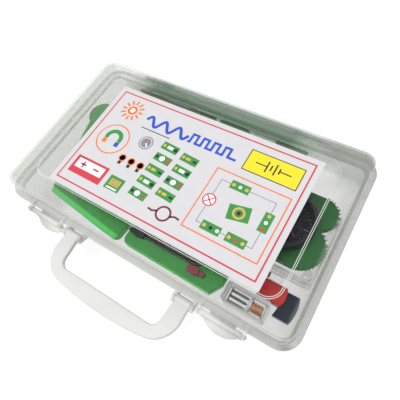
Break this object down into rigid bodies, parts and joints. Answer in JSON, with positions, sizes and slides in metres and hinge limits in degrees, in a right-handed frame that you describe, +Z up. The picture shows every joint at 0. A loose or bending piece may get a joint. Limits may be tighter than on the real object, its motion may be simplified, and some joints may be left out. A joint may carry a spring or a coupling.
{
  "type": "electricity experiment kit",
  "caption": "Clear carrying case with hinged lid, latches and handle, holding lamp holders, knife switches, battery trays, motor model, compass and electromagnet.",
  "frame": {"origin": "centre of the case's flat underside", "axes": "+X along the long side to the right, -Y to the front with handle and latches, +Y to the hinge, +Z up"},
  "size_m": [0.24, 0.1833, 0.04],
  "materials": {
    "clear_case": "milky translucent moulded shell",
    "clear_lid": "clear moulded lid with a slight haze",
    "clear_box": "clear polished box",
    "clear_glass": "clear glass",
    "handle_grey": "fine satin moulding",
    "board_green": "gloss moulding",
    "base_green": "gloss moulding with a ribbed edge",
    "tray_plastic": "satin moulding",
    "black_plastic": "satin moulding",
    "white_plastic": "gloss moulding",
    "red_plastic": "gloss moulding",
    "brass": "pressed and turned",
    "steel": "plain bright",
    "iron": "plain dull",
    "copper": "enamelled copper wire",
    "magnet_red": "gloss paint",
    "magnet_blue": "gloss paint",
    "card": "printed card",
    "lead_red": "smooth insulation",
    "lead_black": "smooth insulation",
    "needle_red": "painted",
    "needle_white": "painted"
  },
  "bodies": {
    "case": {"battery_contacts": "steel", "battery_left_tray": "tray_plastic", "battery_right_tray": "tray_plastic", "case_base": "clear_case", "compass_case": "black_plastic", "compass_dial": "white_plastic", "compass_glass": "clear_glass", "compass_pivot": "brass", "contact_strips": "brass", "electromagnet_base": "base_green", "electromagnet_bobbin": "white_plastic", "electromagnet_core": "iron", "electromagnet_winding": "copper", "iron_nails": "iron", "lamp_left_board": "board_green", "lamp_left_bulb_cap": "brass", "lamp_left_bulb_glass": "clear_glass", "lamp_left_socket": "black_plastic", "lamp_right_board": "board_green", "lamp_right_bulb_cap": "brass", "lamp_right_bulb_glass": "clear_glass", "lamp_right_socket": "black_plastic", "lead_black_coil": "lead_black", "lead_clips_black": "black_plastic", "lead_clips_red": "red_plastic", "lead_red_coil": "lead_red", "lid_hinge_pins": "steel", "magnet_blue": "magnet_blue", "magnet_red": "magnet_red", "motor_base": "base_green", "motor_bearings": "brass", "motor_brushes": "brass", "parts_box": "clear_box", "spare_bulb_cap": "brass", "spare_bulb_glass": "clear_glass", "switch_left_board": "board_green", "switch_left_jaw": "brass", "switch_left_post": "brass", "switch_right_board": "board_green", "switch_right_jaw": "brass", "switch_right_post": "brass", "terminal_posts": "brass", "wire_box": "clear_box", "wire_spool": "white_plastic", "wire_spool_winding": "copper"},
    "lid": {"case_lid": "clear_lid", "label_card": "card"},
    "latch_left": {"latch_left": "clear_case"},
    "latch_right": {"latch_right": "clear_case"},
    "handle": {"carry_handle": "handle_grey"},
    "lever_left": {"switch_left_blade": "brass", "switch_left_knob": "red_plastic"},
    "lever_right": {"switch_right_blade": "brass", "switch_right_knob": "red_plastic"},
    "rotor": {"motor_shaft": "steel", "motor_core": "iron", "motor_winding": "copper", "motor_commutator": "brass"},
    "needle": {"compass_needle_north": "needle_red", "compass_needle_south": "needle_white"}
  },
  "joints": [
    {"name": "lid_hinge", "type": "hinge", "parent": "case", "child": "lid", "pos_m": [0, 0.0726, 0.024], "axis": [-1, 0, 0], "range_deg": [0, 180]},
    {"name": "latch_left_pivot", "type": "hinge", "parent": "lid", "child": "latch_left", "pos_m": [-0.075, -0.0742, 0.0256], "axis": [-1, 0, 0], "range_deg": [0, 110]},
    {"name": "latch_right_pivot", "type": "hinge", "parent": "lid", "child": "latch_right", "pos_m": [0.075, -0.0742, 0.0256], "axis": [-1, 0, 0], "range_deg": [0, 110]},
    {"name": "handle_pivot", "type": "hinge", "parent": "case", "child": "handle", "pos_m": [0, -0.0745, 0.0215], "axis": [-1, 0, 0], "range_deg": [-35, 90]},
    {"name": "switch_left_lever", "type": "hinge", "parent": "case", "child": "lever_left", "pos_m": [-0.063, -0.001, 0.0148], "axis": [0, -1, 0], "range_deg": [0, 90]},
    {"name": "switch_right_lever", "type": "hinge", "parent": "case", "child": "lever_right", "pos_m": [0.008, -0.001, 0.0148], "axis": [0, -1, 0], "range_deg": [0, 90]},
    {"name": "rotor_spin", "type": "hinge", "parent": "case", "child": "rotor", "pos_m": [0.045, 0.0044, 0.031], "axis": [0, 1, 0], "continuous": true},
    {"name": "needle_spin", "type": "hinge", "parent": "case", "child": "needle", "pos_m": [0.0807, 0.003, 0.0305], "axis": [0, 0, 1], "continuous": true}
  ]
}
